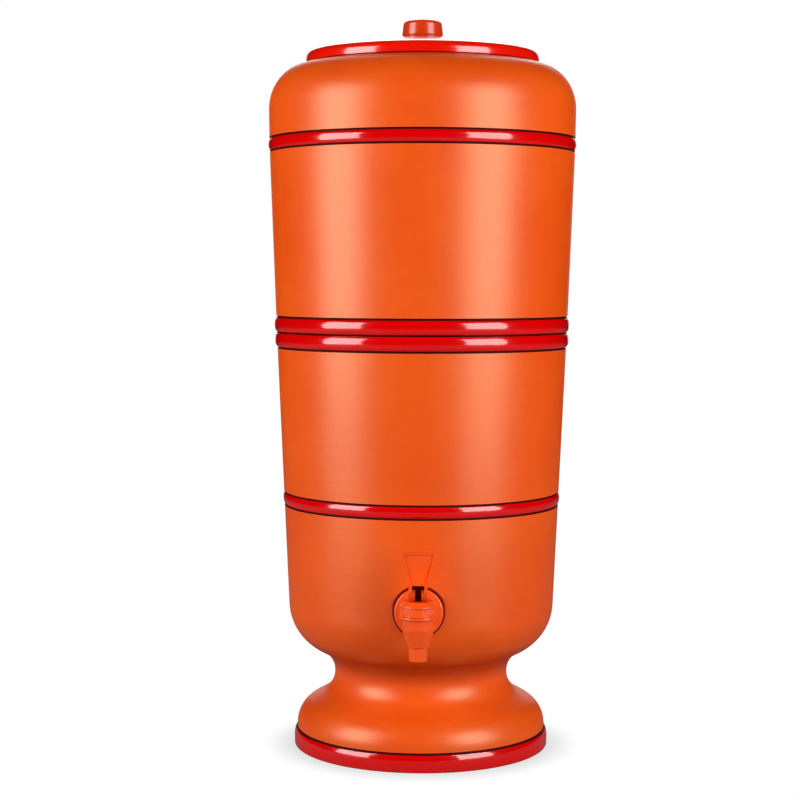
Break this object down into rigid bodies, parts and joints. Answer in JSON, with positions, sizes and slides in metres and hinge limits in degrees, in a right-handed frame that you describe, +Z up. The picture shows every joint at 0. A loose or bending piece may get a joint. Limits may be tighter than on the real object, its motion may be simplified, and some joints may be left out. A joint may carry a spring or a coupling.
{
  "type": "clay water filter",
  "caption": "Two-chamber clay water filter on a waisted foot, with raised painted bands, a knobbed lid and a self-closing fork-lever tap.",
  "frame": {"origin": "centre of the object's box, on the ground", "axes": "+Z up along the vessel's axis; the tap faces -Y; +X is to the right seen from the front"},
  "size_m": [0.2584, 0.2864, 0.6097],
  "materials": {
    "lower_reservoir_clay": "matt, unglazed terracotta",
    "tap_body_finish": "semi-gloss moulded plastic",
    "tap_bonnet_finish": "semi-gloss moulded plastic",
    "tap_outer_gasket_finish": "dark, matt",
    "tap_inner_gasket_finish": "dark, matt",
    "tap_back_nut_finish": "semi-gloss moulded plastic",
    "tap_spring_finish": "bright wire and pin stock",
    "upper_reservoir_clay": "matt, unglazed terracotta",
    "candle_ceramic_1_finish": "white, porous, matt",
    "candle_carbon_1_finish": "black granules, matt",
    "candle_base_1_finish": "white, satin",
    "candle_gasket_1_finish": "translucent, satin",
    "candle_wing_nut_1_finish": "white, satin",
    "float_valve_body_1_finish": "white, satin",
    "float_hinge_pin_1_finish": "bright wire and pin stock",
    "candle_ceramic_2_finish": "white, porous, matt",
    "candle_carbon_2_finish": "black granules, matt",
    "candle_base_2_finish": "white, satin",
    "candle_gasket_2_finish": "translucent, satin",
    "candle_wing_nut_2_finish": "white, satin",
    "float_valve_body_2_finish": "white, satin",
    "float_hinge_pin_2_finish": "bright wire and pin stock",
    "lid_finish": "glossy moulded plastic",
    "lid_knob_finish": "semi-gloss moulded plastic",
    "lid_screw_finish": "bright wire and pin stock",
    "tap_stem_finish": "dark moulded plastic",
    "tap_seat_seal_finish": "translucent, satin",
    "tap_lever_finish": "semi-gloss moulded plastic",
    "float_arm_1_finish": "white, satin",
    "float_valve_pad_1_finish": "dark, matt",
    "float_cap_1_finish": "white, satin",
    "float_cup_1_finish": "white, satin",
    "float_arm_2_finish": "white, satin",
    "float_valve_pad_2_finish": "dark, matt",
    "float_cap_2_finish": "white, satin",
    "float_cup_2_finish": "white, satin",
    "lower_reservoir_band": "high-gloss red paint on the raised bands",
    "upper_reservoir_band": "high-gloss red paint on the raised bands"
  },
  "bodies": {
    "lower_vessel": {"lower_reservoir": "lower_reservoir_clay", "tap_body": "tap_body_finish", "tap_bonnet": "tap_bonnet_finish", "tap_outer_gasket": "tap_outer_gasket_finish", "tap_inner_gasket": "tap_inner_gasket_finish", "tap_back_nut": "tap_back_nut_finish", "tap_spring": "tap_spring_finish"},
    "upper_vessel": {"upper_reservoir": "upper_reservoir_clay", "candle_ceramic_1": "candle_ceramic_1_finish", "candle_carbon_1": "candle_carbon_1_finish", "candle_base_1": "candle_base_1_finish", "candle_gasket_1": "candle_gasket_1_finish", "candle_wing_nut_1": "candle_wing_nut_1_finish", "float_valve_body_1": "float_valve_body_1_finish", "float_hinge_pin_1": "float_hinge_pin_1_finish", "candle_ceramic_2": "candle_ceramic_2_finish", "candle_carbon_2": "candle_carbon_2_finish", "candle_base_2": "candle_base_2_finish", "candle_gasket_2": "candle_gasket_2_finish", "candle_wing_nut_2": "candle_wing_nut_2_finish", "float_valve_body_2": "float_valve_body_2_finish", "float_hinge_pin_2": "float_hinge_pin_2_finish"},
    "lid": {"lid": "lid_finish", "lid_knob": "lid_knob_finish", "lid_screw": "lid_screw_finish"},
    "stem": {"tap_stem": "tap_stem_finish", "tap_seat_seal": "tap_seat_seal_finish"},
    "lever": {"tap_lever": "tap_lever_finish"},
    "float_1": {"float_arm_1": "float_arm_1_finish", "float_valve_pad_1": "float_valve_pad_1_finish", "float_cap_1": "float_cap_1_finish", "float_cup_1": "float_cup_1_finish"},
    "float_2": {"float_arm_2": "float_arm_2_finish", "float_valve_pad_2": "float_valve_pad_2_finish", "float_cap_2": "float_cap_2_finish", "float_cup_2": "float_cup_2_finish"}
  },
  "joints": [
    {"name": "upper_lift", "type": "slide", "parent": "lower_vessel", "child": "upper_vessel", "axis": [0, 0, 1], "range_m": [0, 0.14]},
    {"name": "lid_lift", "type": "slide", "parent": "upper_vessel", "child": "lid", "axis": [0, 0, 1], "range_m": [0, 0.08]},
    {"name": "tap_stem_slide", "type": "slide", "parent": "lower_vessel", "child": "stem", "axis": [0, 0, 1], "range_m": [0, 0.0036], "stiffness_N_per_m": 300, "springref_m": -0.01, "deforming": ["tap_spring"]},
    {"name": "tap_lever_hinge", "type": "hinge", "parent": "stem", "child": "lever", "pos_m": [0, -0.1283, 0.15585], "axis": [1, 0, 0], "range_deg": [0, 75]},
    {"name": "float_hinge_1", "type": "hinge", "parent": "upper_vessel", "child": "float_1", "pos_m": [-0.046, 0.0265, 0.3043], "axis": [-1, 0, 0], "range_deg": [0, 28]},
    {"name": "float_hinge_2", "type": "hinge", "parent": "upper_vessel", "child": "float_2", "pos_m": [0.046, 0.0015, 0.3043], "axis": [1, 0, 0], "range_deg": [0, 28]}
  ],
  "couplings": [
    {"joint": "tap_stem_slide", "follows": "tap_lever_hinge", "m_per_rad": 0.00275}
  ]
}
